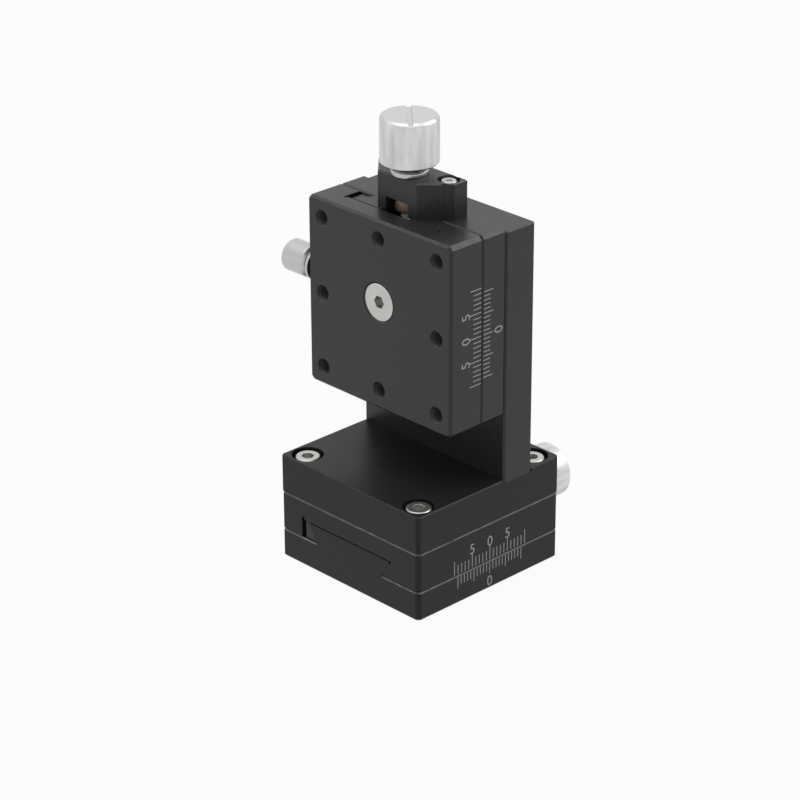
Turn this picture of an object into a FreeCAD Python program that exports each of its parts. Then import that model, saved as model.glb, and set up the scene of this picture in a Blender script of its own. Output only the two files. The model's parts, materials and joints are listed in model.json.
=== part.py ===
import FreeCAD, Part
import math
import os

import Sketcher
from FreeCAD import Placement, Rotation, Vector

# Translation stage: two equal dovetail stages driven by feed screws, joined by an angle bracket.
# The lower stage slides along Y. The upper one stands on the bracket's upright and slides along Z.
# All lengths are in millimetres. The origin is the centre of the lower stage's underside, +Z up,
# +X towards the faces that carry the scales and +Y towards the lower stage's feed knob.
#
# Both stages are drawn in one stage frame: x across the slideway, u along the travel towards the
# knob, and w up from the base plate's underside. The lower stage has u along Y and w along Z, and
# the upper one has u along Z and w along -Y.

doc = FreeCAD.newDocument("translation_stage")

# Driving dimensions: name, value and meaning

driving_dimensions = [
    ("stage_side", 40.0, "side of both square blocks"),
    ("base_thick", 6.4, "base plate from its underside to the seam"),
    ("stage_height", 15.0, "base underside to carriage top"),
    ("corner_chamfer", 0.85, "chamfer on the four upright corners of a block"),
    ("edge_chamfer", 0.5, "chamfer on the outer edges of a block"),
    ("seam_chamfer", 0.3, "chamfer on both sides of the seam"),
    ("travel", 7.0, "slide travel each way from the middle"),
    ("dovetail_width", 23.6, "width across the top of the dovetail"),
    ("dovetail_rise", 4.0, "height of the dovetail over the seam"),
    ("flank_angle", 60.0, "angle of the dovetail flanks to the seam, degrees"),
    ("slide_gap", 0.05, "running gap of the slideway"),
    ("roof_gap", 0.25, "gap over the top of the dovetail"),
    ("relief_depth", 0.7, "height of the relief cut in the channel's corner"),
    ("relief_width", 0.35, "width of that relief"),
    ("gib_wall", 13.7, "upright channel wall behind the gib, from the middle"),
    ("gib_slack", 0.7, "space between the gib and that wall"),
    ("gib_slot", 0.5, "height of the slot over the gib's back"),
    ("gib_inset", 0.5, "how far the gib stops short of each end"),
    ("gib_screw_pitch", 10.0, "spacing of the gib screws"),
    ("gib_screw_size", 2.5, "thread of the gib screws"),
    ("gib_screw_low", 1.9, "gib screw axis over the seam"),
    ("gib_screw_sink", 0.6, "gib screw end below the block's side"),
    ("gib_point", 0.6, "bevel on their inner ends"),
    ("gib_key", 1.3, "hexagon key of the gib screws"),
    ("head_bevel", 0.25, "bevel round the cap heads"),
    ("bolt_size", 3.0, "thread of the mounting holes and screws"),
    ("bolt_margin", 4.0, "mounting hole axes in from the block's sides"),
    ("corner_hole_depth", 6.0, "depth of the corner threads"),
    ("edge_hole_depth", 4.0, "depth of the mid-edge threads"),
    ("hole_bevel", 0.25, "bevel at the mouth of a thread"),
    ("thread_gap", 0.05, "play drawn between a screw and its thread"),
    ("base_hole", 3.6, "mounting holes of the base plates, wide enough to square them up"),
    ("foot_hole", 3.2, "close holes for the foot's screws"),
    ("bolt_head", 5.5, "cap head across"),
    ("bolt_head_high", 3.0, "cap head height"),
    ("bolt_bore", 6.0, "counterbore for a cap head"),
    ("bolt_key", 2.5, "hexagon key of the cap heads"),
    ("base_bore_depth", 3.2, "counterbore depth in the base plates"),
    ("base_screw_length", 8.0, "length of the upper base plate's screws"),
    ("feed_height", 6.4, "feed screw axis over the base underside"),
    ("feed_size", 4.0, "feed screw thread"),
    ("feed_tip", 10.0, "inner end of the feed screw behind the middle"),
    ("feed_bevel", 0.4, "bevel at the feed screw's tip"),
    ("running_gap", 0.05, "play of the feed screw in its nut and bush"),
    ("groove_width", 7.8, "groove for the nut in the dovetail"),
    ("groove_floor", 2.4, "groove floor over the base underside"),
    ("groove_end", 14.0, "closed end of the groove behind the middle"),
    ("nut_width", 6.8, "feed nut across"),
    ("nut_length", 8.0, "feed nut along the travel"),
    ("nut_offset", 2.8, "feed nut's middle towards the knob"),
    ("nut_floor", 3.2, "feed nut underside over the base underside"),
    ("nut_screw_size", 4.0, "thread of the countersunk nut screw"),
    ("nut_screw_hole", 4.3, "hole for that screw in the carriage"),
    ("nut_screw_head", 8.2, "countersunk head across"),
    ("nut_screw_rim", 0.4, "how much wider the countersink is"),
    ("nut_screw_clearance", 0.1, "end of the countersunk screw over the feed screw"),
    ("nut_screw_key", 2.5, "its hexagon key"),
    ("nut_screw_socket", 2.0, "depth of its hexagon socket"),
    ("bracket_height", 7.5, "end bracket over the end of the base plate"),
    ("nose_width", 10.7, "end bracket across its nose"),
    ("nose_reach", 9.8, "nose over the base underside"),
    ("ear_width", 21.0, "end bracket across its ears"),
    ("ear_reach", 5.7, "front of the ears over the base underside"),
    ("ear_back", 1.2, "back of the bracket over the base underside"),
    ("ear_chamfer", 1.1, "chamfer on the front corners of the ears"),
    ("bracket_edge", 0.3, "chamfer round the bracket's outer end"),
    ("window_width", 8.4, "window for the thrust collar"),
    ("window_height", 2.6, "its height over the base plate's end"),
    ("window_back", 2.6, "its back wall over the base underside"),
    ("small_screw", 2.0, "thread of the small cap screws"),
    ("small_hole", 2.3, "clearance hole for them"),
    ("small_head", 3.9, "their heads across"),
    ("small_head_high", 2.0, "their head height"),
    ("small_bore", 4.5, "counterbore for them"),
    ("small_key", 1.5, "their hexagon key"),
    ("bracket_screw_pitch", 15.8, "spacing of the bracket screws"),
    ("bracket_screw_low", 3.6, "their axis over the base underside"),
    ("bracket_screw_sink", 0.2, "their heads below the bracket's end"),
    ("bracket_screw_length", 10.0, "their length under the head"),
    ("small_thread_depth", 6.0, "depth of the small threads"),
    ("bush_size", 5.6, "bush in the bracket, across its body"),
    ("bush_flange", 7.5, "bush flange across"),
    ("flange_thick", 1.1, "bush flange thickness"),
    ("flange_bevel", 0.3, "bevel round the bush flange"),
    ("collar_size", 6.6, "brass thrust collar across"),
    ("collar_gap", 0.15, "end play of the thrust collar"),
    ("knob_size", 11.7, "feed knob across"),
    ("knob_length", 9.6, "feed knob, its grip"),
    ("knob_hub", 6.0, "hub under the knob, across"),
    ("knob_hub_high", 1.0, "hub under the knob, height"),
    ("hub_gap", 0.1, "gap between the hub and the bush flange"),
    ("knob_bevel", 0.5, "bevel round the knob's outer end"),
    ("knob_foot_bevel", 0.3, "bevel round the knob's inner end"),
    ("knob_slot_width", 1.0, "screwdriver slot in the knob"),
    ("knob_slot_depth", 0.9, "its depth"),
    ("knob_slot_turn", 138.0, "its direction from the x axis, degrees"),
    ("knob_wall", 3.0, "solid end of the knob over the feed screw"),
    ("lock_offset", 3.2, "lock screw and plate towards the knob"),
    ("lock_height", 10.65, "lock screw axis over the base underside"),
    ("lock_size", 3.0, "lock screw thread"),
    ("lock_hole_depth", 4.0, "its thread in the carriage"),
    ("lock_engaged", 3.2, "length of the lock screw in the carriage"),
    ("lock_seat_gap", 0.1, "lock screw collar to plate, unlocked"),
    ("lock_collar", 6.8, "lock screw collar across"),
    ("lock_collar_long", 0.7, "its thickness"),
    ("lock_neck", 4.4, "neck between that collar and the head, across"),
    ("lock_neck_long", 0.8, "its length"),
    ("lock_head", 6.7, "lock screw head across"),
    ("lock_head_long", 6.8, "lock screw head length"),
    ("lock_head_bevel", 0.7, "bevel round the lock screw head"),
    ("plate_length", 29.0, "lock plate along the travel"),
    ("plate_thick", 1.5, "lock plate thickness"),
    ("plate_low", 1.4, "lock plate's lower edge over the base underside"),
    ("plate_rise", 2.45, "lock plate's upper edge over the lock screw's axis"),
    ("plate_corner", 1.0, "chamfer on the lock plate's corners"),
    ("plate_relief", 0.15, "relief of the plate over the carriage"),
    ("plate_slot_play", 0.5, "slot wider than the lock screw"),
    ("plate_screw_pitch", 14.0, "spacing of the lock plate's screws"),
    ("plate_screw_low", 3.6, "their axis over the base underside"),
    ("plate_screw_length", 4.8, "their length under the head"),
    ("plate_head_high", 1.0, "their low head's height"),
    ("foot_thick", 8.0, "foot plate of the angle bracket"),
    ("foot_corner", 0.7, "chamfer on the foot's upright corners"),
    ("foot_edge", 0.25, "chamfer on the foot's outer edges"),
    ("foot_bore", 6.6, "counterbores of the foot"),
    ("foot_bore_depth", 3.3, "their depth"),
    ("foot_screw_length", 10.0, "length of the foot screws"),
    ("upright_front", 3.7, "front of the upright behind the middle"),
    ("upright_thick", 8.0, "upright plate thickness"),
    ("channel_depth", 0.7, "channel in the foot that seats the upright"),
    ("stage_lift", 14.0, "foot plate to the upper stage's lower end"),
    ("upright_step", 1.0, "upper stage over the top of the upright"),
    ("upright_corner", 0.4, "chamfer on the upright's corners"),
    ("upright_screw", 4.0, "thread of the screws under the upright"),
    ("upright_screw_pitch", 12.0, "their spacing across"),
    ("upright_screw_length", 12.0, "their length under the head"),
    ("upright_head", 7.0, "their heads across"),
    ("upright_head_high", 4.0, "their head height"),
    ("upright_key", 3.0, "their hexagon key"),
    ("upright_hole", 4.4, "clearance hole for them"),
    ("upright_bore", 7.4, "counterbore for them"),
    ("upright_bore_depth", 4.2, "its depth"),
    ("upright_thread_depth", 10.0, "depth of their threads in the upright"),
    ("tapped_size", 2.5, "root of the threads for the upper base plate's screws"),
    ("tapped_depth", 6.0, "depth of those threads in the upright"),
]

sheet = doc.addObject("Spreadsheet::Sheet", "Sizes")
for row, (alias, number, meaning) in enumerate(driving_dimensions, start=1):
    sheet.set(f"A{row}", alias)
    sheet.set(f"B{row}", str(number))
    sheet.set(f"C{row}", meaning)
    sheet.setAlias(f"B{row}", alias)
doc.recompute()


class Size:
    """A length with both its number and its formula in the sheet."""

    def __init__(self, number, text):
        self.number = float(number)
        self.text = text

    def __add__(self, other):
        other = as_size(other)
        return Size(self.number + other.number, f"({self.text} + {other.text})")

    def __sub__(self, other):
        other = as_size(other)
        return Size(self.number - other.number, f"({self.text} - {other.text})")

    def __mul__(self, factor):
        factor = as_size(factor)
        return Size(self.number * factor.number, f"({self.text} * {factor.text})")

    def __truediv__(self, divisor):
        divisor = as_size(divisor)
        return Size(self.number / divisor.number, f"({self.text} / {divisor.text})")

    def __neg__(self):
        return Size(-self.number, f"(0 - {self.text})")


def as_size(value):
    return value if isinstance(value, Size) else Size(value, f"{float(value)}")


def tangent(angle):
    return Size(math.tan(math.radians(angle.number)), f"tan({angle.text})")


def sine(angle):
    return Size(math.sin(math.radians(angle.number)), f"sin({angle.text})")


class SizeTable:
    """Gives each driving dimension by its name, as in sizes.stage_side."""

    def __init__(self, rows):
        for alias, number, _ in rows:
            setattr(self, alias, Size(number, f"Sizes.{alias}"))


sizes = SizeTable(driving_dimensions)
zero = as_size(0)


def bind(item, path, size):
    item.setExpression(path, as_size(size).text)


# Lengths that several pieces share, worked out from the driving dimensions

half_side = sizes.stage_side / 2
half_pitch = half_side - sizes.bolt_margin
dovetail_top = sizes.base_thick + sizes.dovetail_rise
dovetail_half = sizes.dovetail_width / 2
dovetail_root = dovetail_half - sizes.dovetail_rise / tangent(sizes.flank_angle)
flank_gap = sizes.slide_gap / sine(sizes.flank_angle)
carriage_bottom = sizes.base_thick + sizes.slide_gap
channel_roof = dovetail_top + sizes.roof_gap
gib_back = sizes.gib_wall - sizes.gib_slack
gib_screw_axis = sizes.base_thick + sizes.gib_screw_low
running_bore = sizes.feed_size + sizes.running_gap * 2
bracket_end = half_side + sizes.bracket_height
bush_top = bracket_end + sizes.flange_thick
knob_base = bush_top + sizes.hub_gap + sizes.knob_hub_high
knob_end = knob_base + sizes.knob_length
head_seat = bracket_end - sizes.bracket_screw_sink - sizes.small_head_high
plate_face = half_side + sizes.plate_thick
plate_top = sizes.lock_height + sizes.plate_rise
foot_top = sizes.stage_height + sizes.foot_thick
upper_centre = foot_top + sizes.stage_lift + half_side
upright_back = sizes.upright_front + sizes.upright_thick
upright_middle = sizes.upright_front + sizes.upright_thick / 2
upright_foot = foot_top - sizes.channel_depth
upright_top = upper_centre + half_side - sizes.upright_step


# Helpers for bodies, sketches and features

finished = []
plane_sign = {"XY_Plane": 1, "XZ_Plane": -1, "YZ_Plane": 1}


def flank_at(height):
    """Half width of the dovetail at a height over the base underside."""
    return dovetail_root + (height - sizes.base_thick) / tangent(sizes.flank_angle)


def new_body(label, place, rotation):
    """A body whose origin stands at place, three sizes in the row frame."""
    body = doc.addObject("PartDesign::Body", label)
    body.Label = label
    body.AllowCompound = True
    body.Placement = Placement(Vector(*[as_size(value).number for value in place]), rotation)
    for axis, value in zip("xyz", place):
        bind(body, f"Placement.Base.{axis}", value)
    finished.append(body)
    return body


def origin_feature(body, role):
    return next(item for item in body.Origin.OriginFeatures if item.Role == role)


def new_sketch(body, plane, at=zero):
    """A sketch on one of the body's own planes, moved along the third axis to at."""
    sketch = body.newObject("Sketcher::SketchObject", f"{body.Label}_sketch")
    sketch.AttachmentSupport = [(origin_feature(body, plane), "")]
    sketch.MapMode = "FlatFace"
    offset = as_size(at) if plane_sign[plane] > 0 else -as_size(at)
    sketch.AttachmentOffset = Placement(Vector(0, 0, offset.number), Rotation())
    bind(sketch, "AttachmentOffset.Base.z", offset)
    return sketch


def constrain(sketch, kind, places, size):
    """Adds a dimension to the sketch and ties it to the size's formula."""
    index = sketch.addConstraint(Sketcher.Constraint(kind, *places, size.number))
    bind(sketch, f"Constraints[{index}]", size)


def pin_point(sketch, geometry, point, across, along):
    constrain(sketch, "DistanceX", (-1, 1, geometry, point), across)
    constrain(sketch, "DistanceY", (-1, 1, geometry, point), along)


def outline(sketch, corners):
    """A closed outline of straight lines through the corners."""
    corners = [(as_size(across), as_size(along)) for across, along in corners]
    first = sketch.GeometryCount
    for start, end in zip(corners, corners[1:] + corners[:1]):
        ends = [Vector(across.number, along.number, 0) for across, along in (start, end)]
        sketch.addGeometry(Part.LineSegment(*ends), False)
    for index, (across, along) in enumerate(corners):
        before = first + (index - 1) % len(corners)
        sketch.addConstraint(Sketcher.Constraint("Coincident", before, 2, first + index, 1))
        pin_point(sketch, first + index, 1, across, along)


def rectangle(sketch, low, high):
    outline(sketch, [low, (high[0], low[1]), high, (low[0], high[1])])


def circles(sketch, centres, diameter):
    for across, along in centres:
        centre = Vector(as_size(across).number, as_size(along).number, 0)
        circle = Part.Circle(centre, Vector(0, 0, 1), diameter.number / 2)
        index = sketch.addGeometry(circle, False)
        pin_point(sketch, index, 3, as_size(across), as_size(along))
        constrain(sketch, "Diameter", (index,), diameter)


def hexagon(sketch, across_flats):
    """A regular hexagon about the sketch's origin."""
    reach = across_flats / math.sqrt(3)
    turns = [math.radians(60 * step) for step in range(6)]
    outline(sketch, [(reach * math.cos(turn), reach * math.sin(turn)) for turn in turns])


def pad(body, sketch, length, towards=1, symmetric=False):
    """Adds the sketch's solid, towards the plus or minus side of its plane."""
    feature = body.newObject("PartDesign::Pad", f"{body.Label}_pad")
    feature.Profile = sketch
    bind(feature, "Length", length)
    if symmetric:
        feature.SideType = "Symmetric"
    plane = sketch.AttachmentSupport[0][0].Role
    feature.Reversed = towards * plane_sign[plane] < 0
    return feature


def cut(body, sketch, depth, towards):
    """Cuts the sketch's shape out of the body, towards the plus or minus side of its plane."""
    feature = body.newObject("PartDesign::Pocket", f"{body.Label}_cut")
    feature.Profile = sketch
    bind(feature, "Length", depth)
    plane = sketch.AttachmentSupport[0][0].Role
    feature.Reversed = towards * plane_sign[plane] > 0
    return feature


def turned(body, corners, removes=False, plane="XZ_Plane", at=zero):
    """A solid or a recess of revolution about the body's own z axis, or about x = 0 at a plane."""
    sketch = new_sketch(body, plane, at)
    outline(sketch, corners)
    kind = "PartDesign::Groove" if removes else "PartDesign::Revolution"
    feature = body.newObject(kind, f"{body.Label}_turned")
    feature.Profile = sketch
    feature.ReferenceAxis = (sketch, ["V_Axis"])
    feature.Angle = 360.0
    return feature


def repeated(body, features, steps):
    """Copies features at even spacing. Each step is an axis role, the whole length and a count."""
    pattern = body.newObject("PartDesign::MultiTransform", f"{body.Label}_pattern")
    pattern.Originals = features
    moves = []
    for role, length, count in steps:
        move = body.newObject("PartDesign::LinearPattern", f"{body.Label}_row")
        move.Direction = (origin_feature(body, role), [""])
        bind(move, "Length", length)
        move.Occurrences = count
        moves.append(move)
    pattern.Transformations = moves
    body.Tip = pattern


def chamfer(body, size, picks):
    """Chamfers the edges of the body's last solid that picks accepts, by its end points."""
    doc.recompute()
    last = body.Tip
    chosen = []
    for index, edge in enumerate(last.Shape.Edges, start=1):
        ends = [vertex.Point for vertex in edge.Vertexes]
        if picks(edge, ends):
            chosen.append(f"Edge{index}")
    feature = body.newObject("PartDesign::Chamfer", f"{body.Label}_chamfer")
    feature.Base = (last, chosen)
    bind(feature, "Size", size)
    doc.recompute()


def close(one, other):
    return abs(one - other) < 1e-4


def straight(edge):
    return edge.Curve.TypeId == "Part::GeomLine"


def corner_edges(half_x, half_y):
    """Picks the upright edges at the corners of a block centred on its z axis."""
    def picks(edge, ends):
        corner = all(close(abs(p.x), half_x.number) and close(abs(p.y), half_y.number) for p in ends)
        upright = close(ends[0].x, ends[-1].x) and close(ends[0].y, ends[-1].y)
        return straight(edge) and corner and upright
    return picks


def rim_edges(height, half_x, half_y):
    """Picks the straight edges at a height whose ends lie on a block's four sides."""
    def picks(edge, ends):
        level = all(close(p.z, height.number) for p in ends)
        at_sides = all(close(abs(p.x), half_x.number) or close(abs(p.y), half_y.number) for p in ends)
        return straight(edge) and level and at_sides
    return picks


def mouth_edges(height, diameter):
    """Picks the round mouths of holes of one diameter at a height."""
    def picks(edge, ends):
        circular = edge.Curve.TypeId == "Part::GeomCircle"
        level = close(ends[0].z, height.number)
        return circular and level and close(edge.Curve.Radius * 2, diameter.number)
    return picks


def square_of_points(half):
    return [(-half, -half), (half, -half), (half, half), (-half, half)]


# Fasteners: each group is drawn from one screw with its head seat at the body's origin and its
# head towards +z, then repeated in rows

def cap_screws(label, place, rotation, thread, length, head, head_high, key, steps=()):
    body = new_body(label, place, rotation)
    shank = thread / 2 - sizes.thread_gap
    bevel = sizes.head_bevel
    screw = turned(body, [
        (zero, -length), (shank, -length), (shank, zero), (head / 2, zero),
        (head / 2, head_high - bevel), (head / 2 - bevel, head_high), (zero, head_high)])
    socket_sketch = new_sketch(body, "XY_Plane", head_high)
    hexagon(socket_sketch, key)
    socket = cut(body, socket_sketch, head_high / 2, towards=-1)
    if steps:
        repeated(body, [screw, socket], steps)
    return body


class Stage:
    """One dovetail stage: its name prefix and where its frame stands in the row frame."""

    def __init__(self, prefix, upright):
        self.prefix = prefix
        self.upright = upright
        self.rotation = Rotation(Vector(1, 0, 0), 90 if upright else 0)

    def place(self, across=zero, along=zero, height=zero):
        """The row-frame place of a point of the stage frame."""
        across, along, height = as_size(across), as_size(along), as_size(height)
        if self.upright:
            return (across, sizes.upright_front - height, upper_centre + along)
        return (across, along, height)

    def turned_to(self, local):
        return self.rotation.multiply(local)

    def body(self, name):
        return new_body(f"{self.prefix}_{name}", self.place(), self.rotation)


# Directions of a screw's head in the stage frame
head_to_knob = Rotation(Vector(1, 0, 0), -90)
head_to_side = Rotation(Vector(0, 1, 0), -90)


def make_base_plate(stage):
    body = stage.body("base_plate")
    slab = new_sketch(body, "XY_Plane")
    rectangle(slab, (-half_side, -half_side), (half_side, half_side))
    pad(body, slab, sizes.base_thick)
    chamfer(body, sizes.corner_chamfer, corner_edges(half_side, half_side))
    chamfer(body, sizes.edge_chamfer, rim_edges(zero, half_side, half_side))
    chamfer(body, sizes.seam_chamfer, rim_edges(sizes.base_thick, half_side, half_side))

    # The dovetail's root reaches down to where the seam chamfer starts, so its ends stay square
    root_low = sizes.base_thick - sizes.seam_chamfer
    dovetail = new_sketch(body, "XZ_Plane")
    outline(dovetail, [
        (-dovetail_root, root_low), (dovetail_root, root_low), (dovetail_root, sizes.base_thick),
        (dovetail_half, dovetail_top), (-dovetail_half, dovetail_top),
        (-dovetail_root, sizes.base_thick)])
    pad(body, dovetail, sizes.stage_side, symmetric=True)

    # Groove for the feed nut, open at the knob end and round at the other
    groove_round = sizes.groove_width / 2 - sizes.groove_end
    groove = new_sketch(body, "XY_Plane", dovetail_top)
    rectangle(groove, (-sizes.groove_width / 2, groove_round), (sizes.groove_width / 2, half_side))
    cut(body, groove, dovetail_top - sizes.groove_floor, towards=-1)
    groove_tip = new_sketch(body, "XY_Plane", dovetail_top)
    circles(groove_tip, [(zero, groove_round)], sizes.groove_width)
    cut(body, groove_tip, dovetail_top - sizes.groove_floor, towards=-1)

    holes = new_sketch(body, "XY_Plane", sizes.base_thick)
    circles(holes, square_of_points(half_pitch), sizes.base_hole)
    cut(body, holes, sizes.base_thick, towards=-1)
    bores = new_sketch(body, "XY_Plane", sizes.base_thick)
    circles(bores, square_of_points(half_pitch), sizes.bolt_bore)
    cut(body, bores, sizes.base_bore_depth, towards=-1)

    bracket_threads = new_sketch(body, "XZ_Plane", half_side)
    half_row = sizes.bracket_screw_pitch / 2
    row = [(-half_row, sizes.bracket_screw_low), (half_row, sizes.bracket_screw_low)]
    circles(bracket_threads, row, sizes.small_screw)
    cut(body, bracket_threads, sizes.small_thread_depth, towards=-1)

    plate_threads = new_sketch(body, "YZ_Plane", -half_side)
    half_row = sizes.plate_screw_pitch / 2
    row = [(sizes.lock_offset + side, sizes.plate_screw_low) for side in (-half_row, half_row)]
    circles(plate_threads, row, sizes.small_screw)
    cut(body, plate_threads, sizes.small_thread_depth, towards=1)


def make_carriage(stage):
    body = stage.body("carriage")
    profile = new_sketch(body, "XZ_Plane")
    relief_low = channel_roof - sizes.relief_depth
    slot_side = -sizes.gib_wall + sizes.gib_slack
    outline(profile, [
        (-half_side, carriage_bottom), (-sizes.gib_wall, carriage_bottom),
        (-sizes.gib_wall, channel_roof + sizes.gib_slot), (slot_side, channel_roof + sizes.gib_slot),
        (slot_side, channel_roof),
        (flank_at(channel_roof) + flank_gap + sizes.relief_width, channel_roof),
        (flank_at(relief_low) + flank_gap + sizes.relief_width, relief_low),
        (flank_at(relief_low) + flank_gap, relief_low),
        (flank_at(carriage_bottom) + flank_gap, carriage_bottom),
        (half_side, carriage_bottom), (half_side, sizes.stage_height),
        (-half_side, sizes.stage_height)])
    pad(body, profile, sizes.stage_side, symmetric=True)
    chamfer(body, sizes.corner_chamfer, corner_edges(half_side, half_side))
    chamfer(body, sizes.edge_chamfer, rim_edges(sizes.stage_height, half_side, half_side))
    chamfer(body, sizes.seam_chamfer, rim_edges(carriage_bottom, half_side, half_side))

    # Threads for whatever the carriage bears: four corners and four mid-edges
    corners = new_sketch(body, "XY_Plane", sizes.stage_height)
    circles(corners, square_of_points(half_pitch), sizes.bolt_size)
    cut(body, corners, sizes.corner_hole_depth, towards=-1)
    middles = new_sketch(body, "XY_Plane", sizes.stage_height)
    circles(middles, [(-half_pitch, zero), (half_pitch, zero), (zero, -half_pitch),
                      (zero, half_pitch)], sizes.bolt_size)
    cut(body, middles, sizes.edge_hole_depth, towards=-1)
    chamfer(body, sizes.hole_bevel, mouth_edges(sizes.stage_height, sizes.bolt_size))

    # Countersunk hole for the feed nut's screw
    rim = (sizes.nut_screw_head + sizes.nut_screw_rim) / 2
    hole = sizes.nut_screw_hole / 2
    below_roof = channel_roof - sizes.roof_gap
    turned(body, [
        (zero, sizes.stage_height), (rim, sizes.stage_height),
        (hole, sizes.stage_height - rim + hole), (hole, below_roof), (zero, below_roof)],
        removes=True, at=sizes.nut_offset)

    gib_threads = new_sketch(body, "YZ_Plane", -half_side)
    row = [(sizes.gib_screw_pitch * step, gib_screw_axis) for step in (-1, 0, 1)]
    circles(gib_threads, row, sizes.gib_screw_size)
    cut(body, gib_threads, half_side - sizes.gib_wall, towards=1)

    lock_thread = new_sketch(body, "YZ_Plane", -half_side)
    circles(lock_thread, [(sizes.lock_offset, sizes.lock_height)], sizes.lock_size)
    cut(body, lock_thread, sizes.lock_hole_depth, towards=1)


def make_gib(stage):
    body = stage.body("gib")
    profile = new_sketch(body, "XZ_Plane")
    foot = -flank_at(carriage_bottom) - flank_gap
    crown = -flank_at(dovetail_top) - flank_gap
    outline(profile, [(-gib_back, carriage_bottom), (foot, carriage_bottom),
                      (crown, dovetail_top), (-gib_back, dovetail_top)])
    pad(body, profile, sizes.stage_side - sizes.gib_inset * 2, symmetric=True)


def make_gib_screws(stage):
    """Set screws through the carriage's side that press on the gib."""
    outer_end = half_side - sizes.gib_screw_sink
    place = stage.place(-outer_end, -sizes.gib_screw_pitch, gib_screw_axis)
    body = new_body(f"{stage.prefix}_gib_screws", place, stage.turned_to(head_to_side))
    radius = sizes.gib_screw_size / 2 - sizes.thread_gap
    length = outer_end - gib_back
    point = sizes.gib_point
    screw = turned(body, [(zero, -length), (radius - point, -length), (radius, point - length),
                          (radius, zero), (zero, zero)])
    socket_sketch = new_sketch(body, "XY_Plane")
    hexagon(socket_sketch, sizes.gib_key)
    socket = cut(body, socket_sketch, sizes.gib_key, towards=-1)
    repeated(body, [screw, socket], [("Y_Axis", sizes.gib_screw_pitch * 2, 3)])


def make_feed_nut(stage):
    body = stage.body("feed_nut")
    half_width = sizes.nut_width / 2
    low = sizes.nut_offset - sizes.nut_length / 2
    high = sizes.nut_offset + sizes.nut_length / 2
    block = new_sketch(body, "XY_Plane", sizes.nut_floor)
    rectangle(block, (-half_width, low), (half_width, high))
    pad(body, block, channel_roof - sizes.nut_floor)
    thread = new_sketch(body, "XZ_Plane", high)
    circles(thread, [(zero, sizes.feed_height)], running_bore)
    cut(body, thread, sizes.nut_length, towards=-1)
    screw_hole = new_sketch(body, "XY_Plane", channel_roof)
    circles(screw_hole, [(zero, sizes.nut_offset)], sizes.nut_screw_size)
    cut(body, screw_hole, channel_roof - sizes.feed_height, towards=-1)


def make_nut_screw(stage):
    """Countersunk screw that holds the feed nut, its head flush in the carriage."""
    head_top = sizes.stage_height - sizes.nut_screw_rim / 2
    place = stage.place(zero, sizes.nut_offset, head_top)
    body = new_body(f"{stage.prefix}_nut_screw", place, stage.rotation)
    head = sizes.nut_screw_head / 2
    shank = sizes.nut_screw_size / 2 - sizes.thread_gap
    feed_top = sizes.feed_height + sizes.feed_size / 2
    length = head_top - feed_top - sizes.nut_screw_clearance
    turned(body, [(zero, -length), (shank, -length),
                  (shank, shank - head), (head, zero), (zero, zero)])
    socket = new_sketch(body, "XY_Plane")
    hexagon(socket, sizes.nut_screw_key)
    cut(body, socket, sizes.nut_screw_socket, towards=-1)


def feed_body(stage, name, along):
    """A turned piece on the feed screw's axis, its z axis towards the knob."""
    place = stage.place(zero, along, sizes.feed_height)
    return new_body(f"{stage.prefix}_{name}", place, stage.turned_to(head_to_knob))


def make_feed_screw(stage):
    body = feed_body(stage, "feed_screw", zero)
    radius = sizes.feed_size / 2
    tip = -sizes.feed_tip
    end = knob_end - sizes.knob_wall
    turned(body, [(zero, tip), (radius - sizes.feed_bevel, tip), (radius, tip + sizes.feed_bevel),
                  (radius, end), (zero, end)])


def make_thrust_collar(stage):
    body = feed_body(stage, "thrust_collar", half_side)
    bore = sizes.feed_size / 2
    rim = sizes.collar_size / 2
    low = sizes.collar_gap
    high = sizes.window_height - sizes.collar_gap
    turned(body, [(bore, low), (rim, low), (rim, high), (bore, high)])


def make_knob_bush(stage):
    body = feed_body(stage, "knob_bush", bracket_end)
    bore = running_bore / 2
    rim = sizes.bush_flange / 2
    barrel = sizes.bush_size / 2
    low = sizes.window_height - sizes.bracket_height
    bevel = sizes.flange_bevel
    turned(body, [(bore, low), (barrel, low), (barrel, zero), (rim, zero),
                  (rim, sizes.flange_thick - bevel), (rim - bevel, sizes.flange_thick),
                  (bore, sizes.flange_thick)])


def make_feed_knob(stage):
    body = feed_body(stage, "feed_knob", knob_base)
    hub = sizes.knob_hub / 2
    grip = sizes.knob_size / 2
    bore = sizes.feed_size / 2
    bore_end = sizes.knob_length - sizes.knob_wall
    turned(body, [
        (bore, -sizes.knob_hub_high), (hub, -sizes.knob_hub_high), (hub, zero),
        (grip - sizes.knob_foot_bevel, zero), (grip, sizes.knob_foot_bevel),
        (grip, sizes.knob_length - sizes.knob_bevel),
        (grip - sizes.knob_bevel, sizes.knob_length), (zero, sizes.knob_length),
        (zero, bore_end), (bore, bore_end)])
    slot = new_sketch(body, "XY_Plane", sizes.knob_length)
    bind(slot, "AttachmentOffset.Rotation.Angle", sizes.knob_slot_turn)
    half_slot = sizes.knob_slot_width / 2
    rectangle(slot, (-sizes.knob_size, -half_slot), (sizes.knob_size, half_slot))
    cut(body, slot, sizes.knob_slot_depth, towards=-1)


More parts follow.
